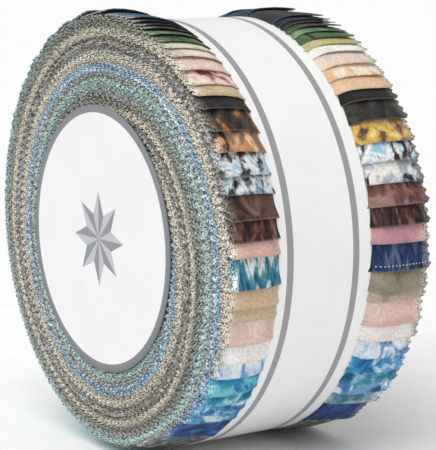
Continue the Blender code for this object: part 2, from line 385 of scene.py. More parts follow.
@dataclass(frozen=True)
class PrintedCotton:
    """The finish of one strip: its print, its paler reverse, its cut edge and its fuzzy pinked rims, with
    painted shade and highlights in the fuzz.

    Attributes:
        number: the strip's number, from 1.
        strip: how it is printed.
        print_shift: how far its mottle is shifted from the last strip's.
        thread: spacing of the threads.
        thread_unevenness: how much the threads wander.
        crown: height of a thread.
        patch_shift: how far its accent patches are shifted from the last strip's.
        patch_size: size of the accent patches.
        patch_stretch: how much longer they are along the strip.
        patch_edge: noise values between which a patch fades in.
        undyed: colour of undyed cotton.
        reverse_fade: share of undyed cotton on the reverse.
        cut_fade: share of undyed cotton on the cut edge.
        slub_size: size of the cotton's lighter and darker slubs.
        slub_shades: darkest and lightest slub, as shares of the print.
        fray_reach: distances from a tooth's edge at which its loose threads begin and are full.
        fray_thread: size of the loose threads.
        fray_strength: share of undyed cotton in them.
        end_reach: the same distances at the strip's two ends.
        end_strength: share of undyed cotton there.
        near_border: places across the strip between which its near-side dyes take over.
        near_wander: how far that border wanders with the mottle.
        hole_pitch: pitch of a selvage's pin holes.
        hole_radius: radius of a pin hole.
        hole_inset: how far the pin holes lie from the end.
        hole_start: how far across the strip they begin.
        hole_colour: colour that shows in them.
        fuzz: colour that the fuzz along the pinked edges pales to.
        fuzz_reach: how far in from the teeth's valleys the fuzz reaches.
        fuzz_shares: share of that colour in a pale warm print and in any other.
        pale_dye: brightness in green above which a dye counts as pale.
        warm_saturation: share of its colour that a warm dye keeps in the fuzz.
        tuft_size: size of the tufts in the fuzz.
        tuft_places: noise values of the tufts in the deepest painted shade and of those with the brightest
            painted highlight.
        tuft_painted_shade: painted shade between the tufts, where the teeth shade each other, as a share of
            the print's brightness.
        tuft_limits: greatest painted highlight on a tuft, as a share of the print's brightness, in a warm
            print and in a cool one.
        brightest: brightness in green that no tuft's painted highlight goes past.
    """

    number: int
    strip: Strip
    print_shift: tuple[float, float] = (0.37, 0.61)
    thread: float = 0.36 * MM
    thread_unevenness: float = 0.6
    crown: float = 0.03 * MM
    patch_shift: tuple[float, float] = (0.83, 0.29)
    patch_size: float = 4.5 * MM
    patch_stretch: float = 1.6
    patch_edge: tuple[float, float] = (0.52, 0.62)
    undyed: str = "D9D6CE"
    reverse_fade: float = 0.30
    cut_fade: float = 0.08
    slub_size: float = 0.9 * MM
    slub_shades: tuple[float, float] = (0.86, 1.12)
    fray_reach: tuple[float, float] = (0.45 * MM, 0.05 * MM)
    fray_thread: float = 0.3 * MM
    fray_strength: float = 0.42
    end_reach: tuple[float, float] = (0.45 * MM, 0.1 * MM)
    end_strength: float = 0.14
    near_border: tuple[float, float] = (4.0 * MM, -6.0 * MM)
    near_wander: float = 30.0 * MM
    hole_pitch: float = 1.1 * MM
    hole_radius: float = 0.17 * MM
    hole_inset: float = 1.6 * MM
    hole_start: float = 14.0 * MM
    hole_colour: str = "E8E6E2"
    fuzz: str = "DEDCC4"
    fuzz_reach: float = 2.2 * MM
    fuzz_shares: tuple[float, float] = (0.42, 0.12)
    pale_dye: float = 0.3
    warm_saturation: float = 0.7
    tuft_size: float = 0.55 * MM
    tuft_places: tuple[float, float] = (0.37, 0.59)
    tuft_painted_shade: float = 0.16
    tuft_limits: tuple[float, float] = (1.5, 2.0)
    brightest: float = 0.78

    @property
    def face_dye(self) -> tuple[float, float, float, float]:
        """Gives the middle dye of the half towards the front face."""
        return linear((self.strip.near or self.strip.dyes)[1])

    @property
    def is_warm(self) -> bool:
        """Says whether that dye is redder than it is blue."""
        return self.face_dye[0] > self.face_dye[2]

    @property
    def rim_paleness(self) -> float:
        """Gives how much undyed cotton shows in the fuzz, which is most in a pale warm print."""
        is_pale = self.face_dye[1] > self.pale_dye
        return self.fuzz_shares[0 if self.is_warm and is_pale else 1]

    @property
    def tuft_painted_highlight(self) -> float:
        """Gives how much brighter than the print the painted highlight on its brightest tufts is, less for a
        pale print.
        """
        return min(self.tuft_limits[0 if self.is_warm else 1], self.brightest / self.face_dye[1])

    def tones(self, bench: Bench, factor: object, dyes: tuple[str, ...]) -> bpy.types.NodeSocket:
        """Spreads the dark, middle and light dye over a mottle.

        Args:
            bench: the material's nodes.
            factor: the mottle, from 0 to 1.
            dyes: the three dyes.

        Returns:
            The colour.
        """
        spread = DESIGNS[self.strip.design].contrast
        places = (0.5 - spread, 0.5, 0.5 + spread)
        return bench.ramp(factor, [(place, linear(dye)) for place, dye in zip(places, dyes)])

    def spread(self, bench: Bench, cloth: object, shift: tuple[float, float], size: float,
               stretch: float) -> bpy.types.NodeSocket:
        """Scales the cloth's map to the marks of a print.

        Args:
            bench: the material's nodes.
            cloth: the cloth's own coordinates, in metres.
            shift: how far the marks move from one strip to the next.
            size: size of the marks in metres.
            stretch: how much longer they are along the strip.

        Returns:
            Coordinates in which a mark is one unit wide.
        """
        move = (shift[0] * self.number, shift[1] * self.number, 0.0)
        scale = (1.0 / size / stretch, 1.0 / size, 1.0)
        return bench.add("Mapping", Vector=cloth, Location=move, Scale=scale).outputs[0]

    def mottle(self, bench: Bench, cloth: object) -> bpy.types.NodeSocket:
        """Draws the print's mottle on the cloth map.

        Args:
            bench: the material's nodes.
            cloth: the cloth's own coordinates, in metres.

        Returns:
            The mottle, from 0 to 1.
        """
        settings = DESIGNS[self.strip.design]
        place = self.spread(bench, cloth, self.print_shift, settings.size, settings.stretch)
        return bench.noise(place, 1.0, settings.detail, settings.warp)

    def patches(self, bench: Bench, cloth: object) -> bpy.types.NodeSocket:
        """Draws the scattered patches of the accent colour.

        Args:
            bench: the material's nodes.
            cloth: the cloth's own coordinates, in metres.

        Returns:
            1 inside a patch and 0 outside.
        """
        place = self.spread(bench, cloth, self.patch_shift, self.patch_size, self.patch_stretch)
        return bench.share(bench.noise(place, 1.0, 5.0, 1.1), self.patch_edge)

    def weave(self, bench: Bench, cloth: object) -> bpy.types.NodeSocket:
        """Draws the plain weave as crossing rows of threads.

        Args:
            bench: the material's nodes.
            cloth: the cloth's own coordinates, in metres.

        Returns:
            The threads' height, from 0 to 1.
        """
        waves_per_unit = 20 / math.tau
        rows = []
        for direction in ("X", "Y"):
            node = bench.add("TexWave", Vector=cloth, Scale=1.0 / waves_per_unit / self.thread,
                             Distortion=self.thread_unevenness, Detail=1.0)
            node.bands_direction = direction
            rows.append(node.outputs["Fac"])
        return bench.math("MULTIPLY", rows[0], rows[1])

    def rim_share(self, bench: Bench, cloth: object) -> bpy.types.NodeSocket:
        """Gives how near the pinked edges a place is.

        Args:
            bench: the material's nodes.
            cloth: the cloth's own coordinates, in metres.

        Returns:
            0 in the strip's middle and 1 along its teeth.
        """
        across = bench.math("ABSOLUTE", bench.split(cloth)["Y"])
        return bench.share(across, (PINKING.valley - self.fuzz_reach, PINKING.valley))

    def fray(self, bench: Bench, cloth: object) -> bpy.types.NodeSocket:
        """Draws the loose threads along the edge of every tooth.

        Args:
            bench: the material's nodes.
            cloth: the cloth's own coordinates, in metres.

        Returns:
            The share of undyed cotton.
        """
        parts = bench.split(cloth)
        half_pitch = PINKING.length / PINKING.columns
        tooth = bench.math("PINGPONG", parts["X"], half_pitch)
        edge = bench.math("MULTIPLY_ADD", tooth, PINKING.depth / half_pitch)
        edge.node.inputs[2].default_value = PINKING.valley
        inside = bench.math("SUBTRACT", edge, bench.math("ABSOLUTE", parts["Y"]))
        threads = bench.math("MULTIPLY", bench.noise(cloth, self.fray_thread), self.fray_strength)
        return bench.math("MULTIPLY", bench.share(inside, self.fray_reach), threads)

    def end_fray(self, bench: Bench, cloth: object) -> bpy.types.NodeSocket:
        """Gives the pale line of loose threads along the strip's two ends.

        Args:
            bench: the material's nodes.
            cloth: the cloth's own coordinates, in metres.

        Returns:
            The share of undyed cotton.
        """
        from_end = bench.math("PINGPONG", bench.split(cloth)["X"], PINKING.length)
        return bench.math("MULTIPLY", bench.share(from_end, self.end_reach), self.end_strength)

    def near_share(self, bench: Bench, cloth: object, mottle: object) -> bpy.types.NodeSocket:
        """Gives how far a place is into the half towards the front face, with a wandering border.

        Args:
            bench: the material's nodes.
            cloth: the cloth's own coordinates, in metres.
            mottle: the print's mottle, from 0 to 1.

        Returns:
            The share of the near-side dyes.
        """
        wander = bench.math("MULTIPLY", bench.math("SUBTRACT", mottle, 0.5), self.near_wander)
        return bench.share(bench.math("ADD", bench.split(cloth)["Y"], wander), self.near_border)

    def pin_holes(self, bench: Bench, cloth: object) -> bpy.types.NodeSocket:
        """Draws the row of pin holes beside a selvage end.

        Args:
            bench: the material's nodes.
            cloth: the cloth's own coordinates, in metres.

        Returns:
            1 in a hole and 0 elsewhere.
        """
        parts = bench.split(cloth)
        along = bench.math("SUBTRACT", parts["X"], self.hole_inset)
        step = bench.math("PINGPONG", parts["Y"], self.hole_pitch / 2)
        square = bench.math("ADD", bench.math("MULTIPLY", along, along), bench.math("MULTIPLY", step, step))
        hole = bench.math("LESS_THAN", bench.math("SQRT", square), self.hole_radius)
        return bench.math("MULTIPLY", hole, bench.math("GREATER_THAN", parts["Y"], self.hole_start))

    def printed(self, bench: Bench, cloth: object) -> bpy.types.NodeSocket:
        """Prints the cloth: its mottle, its near-side dyes and its accent patches.

        Args:
            bench: the material's nodes.
            cloth: the cloth's own coordinates, in metres.

        Returns:
            The print's colour.
        """
        mottle = self.mottle(bench, cloth)
        colour = self.tones(bench, mottle, self.strip.dyes)
        if self.strip.near:
            near = self.tones(bench, mottle, self.strip.near)
            colour = bench.mix(self.near_share(bench, cloth, mottle), colour, near)
        if self.strip.accent:
            colour = bench.mix(self.patches(bench, cloth), colour, linear(self.strip.accent))
        return colour

    def fuzz_and_painted_light(self, bench: Bench, cloth: object, colour: object) -> bpy.types.NodeSocket:
        """Pales the cloth along its pinked edges to fuzz, and paints shade between its tufts and highlights on
        the threads that catch the light.

        Args:
            bench: the material's nodes.
            cloth: the cloth's own coordinates, in metres.
            colour: the cloth's colour.

        Returns:
            The colour with the fuzz and its painted shade and highlights.
        """
        # Painted light: between the tufts the colour is darkened to painted shade, and on them it is
        # brightened to painted highlights.
        tufts = bench.noise(cloth, self.tuft_size, 3.0)
        low, high = self.tuft_places
        contrast = bench.ramp(tufts, [(low, grey(self.tuft_painted_shade)), (high, grey(self.tuft_painted_highlight))])
        saturation = self.warm_saturation if self.is_warm else 1.0
        faded = bench.add("HueSaturation", Saturation=saturation, Color=colour).outputs["Color"]
        faded = bench.mix(self.rim_paleness, faded, linear(self.fuzz))
        return bench.mix(self.rim_share(bench, cloth), colour, bench.mix(1.0, faded, contrast, "MULTIPLY"))

    def material(self, side: Side) -> bpy.types.Material:
        """Builds the finish of one side of the strip.

        Args:
            side: printed face, reverse or cut edge.

        Returns:
            The material.
        """
        bench = Bench(f"strip_{self.number:02d}_{side.name.lower()}")
        cloth = bench.add("UVMap").outputs["UV"]
        cloth.node.uv_map = CLOTH_MAP
        undyed = linear(self.undyed)
        colour = self.printed(bench, cloth)
        if side is Side.PRINT:
            if self.strip.pin_holes:
                colour = bench.mix(self.pin_holes(bench, cloth), colour, linear(self.hole_colour))
            colour = bench.mix(self.end_fray(bench, cloth), colour, undyed)
        else:
            fade = self.reverse_fade if side is Side.REVERSE else self.cut_fade
            colour = bench.mix(fade, colour, undyed)
        colour = bench.mix(self.fray(bench, cloth), colour, undyed)
        slubs = bench.noise(cloth, self.slub_size, 5.0)
        dark, bright = self.slub_shades
        shade = bench.ramp(slubs, [(0.3, grey(dark)), (0.7, grey(bright))])
        colour = self.fuzz_and_painted_light(bench, cloth, bench.mix(1.0, colour, shade, "MULTIPLY"))
        bench.coat(Base_Color=colour, Roughness=0.88, Specular_IOR_Level=0.25, Sheen_Weight=0.08)
        bench.bump(self.weave(bench, cloth), self.crown)
        return bench.material


@dataclass(frozen=True)
class CoatedPaper:
    """Coated paper or card, with a faint cloudy tone and the smallest fibre relief.

    Attributes:
        name: the material's name.
        colour: its colour, as hex.
        roughness: how dull its coat is.
        cloud_size: size of the faint clouds.
        cloud_tone: colour of the darker clouds, as shares.
        fibre_size: size of the fibres.
        relief: height of the fibres.
    """

    name: str
    colour: str
    roughness: float
    cloud_size: float = 14.0 * MM
    cloud_tone: tuple[float, ...] = (0.965, 0.965, 0.97, 1.0)
    fibre_size: float = 0.25 * MM
    relief: float = 0.006 * MM

    def bench(self) -> Bench:
        """Lays out the finish.

        Returns:
            The material's nodes.
        """
        bench = Bench(self.name)
        place = bench.add("TexCoord").outputs["Object"]
        clouds = bench.noise(place, self.cloud_size, 3.0)
        shade = bench.ramp(clouds, [(0.3, self.cloud_tone), (0.7, grey(1.0))])
        colour = bench.mix(1.0, linear(self.colour), shade, "MULTIPLY")
        bench.coat(Base_Color=colour, Roughness=self.roughness, Specular_IOR_Level=0.4)
        bench.bump(bench.noise(place, self.fibre_size), self.relief)
        return bench

    def material(self) -> bpy.types.Material:
        """Gives the finish as a material."""
        return self.bench().material


@dataclass(frozen=True)
class PatchworkStar:
    """White card with the traditional eight-pointed patchwork star printed small in two greys.

    Attributes:
        centre: the star's middle, which lies on the roll's axis.
        card: the card that it is printed on.
        inks: the two greys, as hex.
        points: number of its points.
        point: radius of its points.
        notch: radius of the corners between them.
    """

    centre: Vector
    card: CoatedPaper = CoatedPaper("card_white", "F0F0F1", 0.55)
    inks: tuple[str, str] = ("8F9296", "BFC1C4")
    points: int = 8
    point: float = 13.0 * MM
    notch: float = 7.04 * MM

    def material(self) -> bpy.types.Material:
        """Builds the card's face.

        Returns:
            The material.
        """
        bench = self.card.bench()
        paper = bench.shader.inputs["Base Color"].links[0].from_socket
        place = bench.add("TexCoord").outputs["Object"]
        centred = bench.add("Mapping", Vector=place, Location=tuple(-self.centre))
        parts = bench.split(centred.outputs[0])
        across, up = parts["X"], parts["Z"]
        angle = bench.math("ARCTAN2", up, across)
        square = bench.math("ADD", bench.math("POWER", across, 2.0), bench.math("POWER", up, 2.0))
        radius = bench.math("SQRT", square)
        step = math.tau / self.points
        wedge = bench.math("PINGPONG", angle, step / 2)
        out = bench.math("MULTIPLY", radius, bench.math("COSINE", wedge))
        side = bench.math("MULTIPLY", radius, bench.math("SINE", wedge))
        slope = (self.point - self.notch * math.cos(step / 2)) / (self.notch * math.sin(step / 2))
        reach = bench.math("ADD", out, bench.math("MULTIPLY", side, slope))
        inside = bench.math("LESS_THAN", reach, self.point)
        half = bench.math("LESS_THAN", bench.math("FLOORED_MODULO", angle, step), step / 2)
        ink = bench.mix(half, linear(self.inks[0]), linear(self.inks[1]))
        bench.coat(Base_Color=bench.mix(inside, paper, ink))
        return bench.material


@dataclass(frozen=True)
class RimProfile:
    """How the roll's outer cloth draws in from front to back, at named places across it, in mm.

    Attributes:
        along: the places, from the front rim to the back rim.
        drop: how far the cloth draws in there, all the way round.
        rise: how far the ring of cloth sits above the axis there.
        tuck: how much further it draws in low down, beside the spot that it stands on.
        lift_share: the share of an end's lift that the band leaves there.
        fade_power: how fast all of this fades towards the core.
        tuck_middle: angle at which it draws in most low down.
        tuck_reach: how far from that angle this ends.
    """

    along: tuple[float, ...] = (-31.75, -30.3, -28.0, -22.5, -17.6, -15.8, -14.6, -13.2, 14.2, 15.6, 16.8,
                                18.4, 22.0, 25.5, 29.0, 31.0, 34.0)
    drop: tuple[float, ...] = (2.4, 1.8, 1.2, 0.7, 1.1, 1.6, 2.2, 2.75, 2.75, 1.9, 0.9, 0.5,
                               0.2, 0.3, 0.6, 0.8, 1.1)
    rise: tuple[float, ...] = (1.7, 1.6, 1.4, 0.8, 0.3, 0.1, 0.0, 0.0, 0.0, 0.0, 0.0, 0.0,
                               0.0, 0.0, 0.0, 0.0, 0.0)
    tuck: tuple[float, ...] = (2.0, 2.2, 2.4, 2.6, 2.2, 1.4, 0.2, 0.0, 0.0, 0.2, 1.2, 1.7,
                               1.7, 1.2, 0.6, 0.4, 0.4)
    lift_share: tuple[float, ...] = (1.0, 1.0, 0.9, 0.7, 0.5, 0.35, 0.1, 0.0, 0.0, 0.1, 0.35, 0.5,
                                     0.7, 0.85, 0.95, 1.0, 1.0)
    fade_power: float = 8.0
    tuck_middle: float = math.radians(153)
    tuck_reach: float = math.radians(32)

    def draws_in(self, along: np.ndarray, angle: np.ndarray) -> np.ndarray:
        """Gives how far the rim draws in.

        Args:
            along: places from front to back, in metres.
            angle: angles round the axis.

        Returns:
            The distance at the rim's full radius, in metres.
        """
        drop = np.interp(along / MM, self.along, self.drop)
        rise = np.interp(along / MM, self.along, self.rise)
        tuck = np.interp(along / MM, self.along, self.tuck)
        from_middle = (angle - self.tuck_middle + math.pi) % math.tau - math.pi
        share = np.cos(np.clip(from_middle / self.tuck_reach, -1.0, 1.0) * math.pi / 2) ** 2
        return (drop - rise * np.cos(angle) + tuck * share) * MM

    def lifts(self, along: np.ndarray) -> np.ndarray:
        """Gives the share of an end's lift that is left under the pull of the band."""
        return np.interp(along / MM, self.along, self.lift_share)


@dataclass
class WoundStack:
    """The stack of folded strips as it winds: the radius of every layer at every angle.

    Attributes:
        centre: the middle of the roll, on its axis.
        floor: height of the surface that it stands on.
        rim_radius: radius of the outermost layer.
        core_radius: radius of the eye in the middle.
        first_end: angle of the first strip's free end.
        search_step: how finely the winding is followed to the eye.
        path_points: number of points on one half of a strip's path.
        foot: heights under the floor's level, in mm, of cloth before the roll's weight presses it.
        pressed_foot: heights of the same cloth once it is pressed flat.
        profile: how the rim draws in.
        ends: angle of every strip's free end.
    """

    centre: Vector
    floor: float
    rim_radius: float = 61.0 * MM
    core_radius: float = 3.5 * MM
    first_end: float = math.radians(14.5)
    search_step: float = math.radians(2)
    path_points: int = 6000
    foot: tuple[float, ...] = (-6.0, 0.3, 2.0)
    pressed_foot: tuple[float, ...] = (-6.0, -0.22, -0.14)
    profile: RimProfile = RimProfile()
    ends: np.ndarray = field(init=False)

    def __post_init__(self) -> None:
        """Works out where every strip's free end comes."""
        ends = [self.first_end]
        for strip in STRIPS[1:]:
            ends.append(ends[-1] + strip.shown * MM / self.rim_radius)
        self.ends = np.array(ends)

    @property
    def folded(self) -> float:
        """Gives the thickness of one folded strip in the winding."""
        return math.pi * self.rim_radius ** 2 / (PINKING.length / 2) / len(STRIPS)

    def ended(self, angle: np.ndarray) -> np.ndarray:
        """Counts the strips that have ended, over any number of turns.

        Args:
            angle: angles round the axis.

        Returns:
            The number at each angle, with its fraction.
        """
        start = self.ends[-1] - math.tau
        turned = angle - start
        turns = np.floor(turned / math.tau)
        knots = np.concatenate([[start], self.ends]) - start
        return turns * len(STRIPS) + np.interp(turned - turns * math.tau, knots, np.arange(len(STRIPS) + 1))

    def radius(self, depth: float, angle: np.ndarray) -> np.ndarray:
        """Gives the radius of the layer that lies a number of strips into the stack."""
        return self.rim_radius - self.folded * (depth + 1.0 - self.ended(angle))

    def path(self, number: int, depth: float, end: float,
             distance: np.ndarray) -> tuple[np.ndarray, np.ndarray]:
        """Winds one half of a strip from its free end to the core.

        Args:
            number: the strip's place in the stack, from 0.
            depth: how far into its folded thickness the half lies, from 0 to 1.
            end: angle of the free end.
            distance: distances from the free end along the cloth.

        Returns:
            The angle and the radius at each distance.
        """
        core = end
        while self.radius(number + 0.5, np.array(core)) > self.core_radius:
            core -= self.search_step
        angle = np.linspace(end, core, self.path_points)
        radius = self.radius(number + depth, angle)
        steps = np.hypot(np.diff(radius), (radius[1:] + radius[:-1]) / 2 * np.diff(angle))
        reach = np.concatenate([[0.0], np.cumsum(steps)])
        reach *= (PINKING.length / 2) / reach[-1]
        return np.interp(distance, reach, angle), np.interp(distance, reach, radius)

    def press(self, below: np.ndarray) -> np.ndarray:
        """Presses the foot of the roll flat.

        Args:
            below: distances below the axis.

        Returns:
            The distances once the floor has pressed on them.
        """
        full = self.centre.z - self.floor
        loose = [0.0, *(full + step * MM for step in self.foot)]
        pressed = [0.0, *(full + step * MM for step in self.pressed_foot)]
        return np.where(below > 0, np.interp(below, loose, pressed), below)

    def place(self, angle: np.ndarray, radius: np.ndarray, along: np.ndarray,
              lift: np.ndarray) -> np.ndarray:
        """Puts points of cloth where the band, the rims and the floor leave them.

        Args:
            angle: angles round the axis.
            radius: radii before anything presses on them.
            along: places from front to back, from the roll's middle.
            lift: how far the cloth stands off there.

        Returns:
            Points in the shared frame, one row each.
        """
        fade = (radius / self.rim_radius) ** self.profile.fade_power
        final = radius + lift - self.profile.draws_in(along, angle) * fade
        across = self.centre.x + final * np.sin(angle)
        up = self.centre.z - self.press(-final * np.cos(angle))
        return np.stack([across, self.centre.y + along, up], 1)


@dataclass
class FabricStrip:
    """One strip, cut flat, pinked, folded in half and wound.

    Attributes:
        number: its place in the stack, from 0.
        stack: the stack that it winds in.
        rows: places across the strip, in mm, of its rows of points, close together where it bends.
        thickness: thickness of the cloth.
        shaped_depth: how deep into the roll the cloth has all its rows.
        half_depths: how far into the folded thickness the outer and the inner half lie.
        inner_set_back: least and greatest step back of the inner half's end, in mm.
        end_reach: how far from its end the cloth lifts.
        lift_power: how sharply it lifts.
        inner_lift: share of the lift on the inner half.
        slant: greatest slant of an end across the strip, in mm.
        slant_reach: how far from its end the cloth lies slanted.
        back_curl: least and greatest curl of an end's back corner, in mm.
        front_curl: the same for its front corner.
        curl_power: how near the corner the curl stays.
        ripples: length and height of the cloth's small waves.
        ripple_depth: how deep into the roll the outer layers have room for them.
        set_back: least and greatest step back of the whole strip from the front face, in mm.
        wander: how far it wanders from that.
        wander_length: length of one such wave.
        rim_set_back: how much further back the outermost layer lies.
        rim_power: how near the rim that stays.
        strip: how it is printed.
        draw: its own seeded source of chance.
        half: length of one half.
        outer_end: angle of the outer half's free end.
        inner_end: angle of the inner half's end.
    """

    number: int
    stack: WoundStack
    rows: tuple[float, ...] = (-PINKING.valley / MM, -28.4, -25.5, -22.0, -18.4, -16.6, -15.6, -14.6, -12.0,
                               -5.0, 4.0, 10.0, 13.0, 14.4, 15.6, 17.2, 20.0, 23.4, 26.6, 28.8,
                               PINKING.valley / MM)
    thickness: float = 0.21 * MM
    shaped_depth: float = 4.2 * MM
    half_depths: tuple[float, float] = (0.25, 0.75)
    inner_set_back: tuple[float, float] = (0.4, 2.2)
    end_reach: float = 9.0 * MM
    lift_power: float = 1.6
    inner_lift: float = 0.75
    slant: float = 0.9
    slant_reach: float = 40.0 * MM
    back_curl: tuple[float, float] = (-0.1, 0.5)
    front_curl: tuple[float, float] = (-0.1, 0.3)
    curl_power: int = 5
    ripples: tuple[tuple[float, float], ...] = ((23 * MM, 0.05 * MM), (11 * MM, 0.035 * MM))
    ripple_depth: float = 1.5 * MM
    set_back: tuple[float, float] = (0.05, 0.6)
    wander: float = 0.15 * MM
    wander_length: float = 150 * MM
    rim_set_back: float = 1.3 * MM
    rim_power: int = 16
    strip: Strip = field(init=False)
    draw: random.Random = field(init=False)
    half: float = field(init=False)
    outer_end: float = field(init=False)
    inner_end: float = field(init=False)

    def __post_init__(self) -> None:
        """Takes the strip's print, and draws by chance where its inner half ends."""
        self.strip = STRIPS[self.number]
        self.draw = random.Random(SEED + self.number)
        self.half = PINKING.length / 2
        self.outer_end = self.stack.ends[self.number]
        step = self.draw.uniform(*self.inner_set_back) * MM
        self.inner_end = self.outer_end - step / self.stack.rim_radius

    def paths(self, distance: np.ndarray) -> tuple[np.ndarray, np.ndarray]:
        """Winds both halves.

        Args:
            distance: distances from the outer half's free end, along the cloth to the other end.

        Returns:
            The angle and the radius at each distance.
        """
        on_outer = np.minimum(distance, self.half)
        on_inner = np.minimum(2 * self.half - distance, self.half)
        outer = self.stack.path(self.number, self.half_depths[0], self.outer_end, on_outer)
        inner = self.stack.path(self.number, self.half_depths[1], self.inner_end, on_inner)
        is_outer = distance <= self.half
        return np.where(is_outer, outer[0], inner[0]), np.where(is_outer, outer[1], inner[1])

    def cut(self) -> bmesh.types.BMesh:
        """Cuts the flat strip: a row of cells along it, pinked long edges, and finer cells near its ends.

        Returns:
            The flat strip, with X along it and Y across it.
        """
        count, length, valley = PINKING.columns, PINKING.length, PINKING.valley
        mesh = bmesh.new()
        bmesh.ops.create_grid(mesh, x_segments=count, y_segments=1, size=0.5)
        for vert in mesh.verts:
            vert.co = ((vert.co.x + 0.5) * length, math.copysign(valley, vert.co.y), 0.0)
        columns = np.array([index / count * length for index in range(count + 1)])
        shaped = self.paths(columns)[1] > self.stack.rim_radius - self.shaped_depth
        cross = []
        for edge in mesh.edges:
            first, second = edge.verts
            if abs(first.co.x - second.co.x) < CLOSE and shaped[round(first.co.x / length * count)]:
                cross.append(edge)
        bmesh.ops.subdivide_edges(mesh, edges=cross, cuts=len(self.rows) - 2, use_grid_fill=True)
        even = np.linspace(-valley, valley, len(self.rows))
        for vert in mesh.verts:
            if abs(abs(vert.co.y) - valley) < CLOSE:
                is_tip = round(vert.co.x / length * count) % 2
                vert.co.y = math.copysign(valley + (PINKING.depth if is_tip else 0.0), vert.co.y)
            else:
                vert.co.y = float(np.interp(vert.co.y, even, self.rows)) * MM
        return mesh

    def map_cloth(self, mesh: bmesh.types.BMesh) -> None:
        """Keeps the flat place of every corner as the cloth's own map, in metres.

        Args:
            mesh: the flat strip.
        """
        layer = mesh.loops.layers.uv.new(CLOTH_MAP)
        for face in mesh.faces:
            for loop in face.loops:
                loop[layer].uv = (loop.vert.co.x, loop.vert.co.y)

    def wind(self, mesh: bmesh.types.BMesh) -> None:
        """Moves the flat strip's points to their wound places.

        Args:
            mesh: the flat strip.
        """
        flat = np.array([vert.co[:2] for vert in mesh.verts])
        distance, across = flat[:, 0], flat[:, 1]
        angle, radius = self.paths(distance)
        from_end = np.minimum(distance, 2 * self.half - distance)
        slant = self.draw.uniform(-self.slant, self.slant) * MM
        near_end = np.exp(-from_end / self.slant_reach)
        angle = angle + slant * (across / PINKING.width) * near_end / self.stack.rim_radius
        end_share = np.clip(1.0 - from_end / self.end_reach, 0.0, 1.0) ** self.lift_power
        half_share = np.where(distance <= self.half, 1.0, self.inner_lift)
        lift = self.strip.lift * MM * end_share * half_share * self.stack.profile.lifts(across)
        lift += self.corner_curl(across, end_share)
        lift += self.ripple(distance, across, radius)
        along = across + self.telescope(distance, radius)
        for vert, place in zip(mesh.verts, self.stack.place(angle, radius, along, lift)):
            vert.co = place

    def corner_curl(self, across: np.ndarray, end_share: np.ndarray) -> np.ndarray:
        """Curls the end's two corners.

        Args:
            across: places across the strip.
            end_share: how near the end each point is, from 0 to 1.

        Returns:
            How far each point stands off further than the end's middle.
        """
        rimward = np.abs(across) / (PINKING.width / 2)
        back = self.draw.uniform(*self.back_curl) * MM
        front = self.draw.uniform(*self.front_curl) * MM
        return np.where(across > 0, back, front) * rimward ** self.curl_power * end_share

    def ripple(self, distance: np.ndarray, across: np.ndarray, radius: np.ndarray) -> np.ndarray:
        """Gives the cloth's small unevenness, which only the outer layers have room for.

        Args:
            distance: distances along the strip.
            across: places across it.
            radius: radii of the layers there.

        Returns:
            How far each point stands off.
        """
        waves = np.zeros_like(distance)
        for length, size in self.ripples:
            phase, tilt = self.draw.uniform(0, math.tau), self.draw.uniform(-1, 1)
            waves += size * np.sin(math.tau * (distance + tilt * across) / length + phase)
        room = np.clip((radius - self.stack.rim_radius) / self.ripple_depth + 1.0, 0.0, 1.0)
        return waves * room * self.stack.profile.lifts(across)

    def telescope(self, distance: np.ndarray, radius: np.ndarray) -> np.ndarray:
        """Sets the strip back from the front face, a little each, and more at the rim.

        Args:
            distance: distances along the strip.
            radius: radii of the layers there.

        Returns:
            How far back each point lies.
        """
        own = self.draw.uniform(*self.set_back) * MM
        phase = self.draw.uniform(0, math.tau)
        wander = self.wander * np.sin(math.tau * distance / self.wander_length + phase)
        return own + wander + self.rim_set_back * (radius / self.stack.rim_radius) ** self.rim_power

    def build(self) -> bpy.types.Object:
        """Makes the finished piece.

        Returns:
            The strip's object, dressed and declared.
        """
        mesh = self.cut()
        self.map_cloth(mesh)
        self.wind(mesh)
        bmesh.ops.reverse_faces(mesh, faces=mesh.faces)
        piece = add_piece(f"strip_{self.number + 1:02d}", mesh)
        finish = PrintedCotton(self.number + 1, self.strip)
        for side in Side:
            piece.data.materials.append(finish.material(side))
        solid = thicken(piece, self.thickness, 0.0)
        solid.material_offset = 1
        solid.material_offset_rim = 2
        declare(piece, "roll")
        return piece


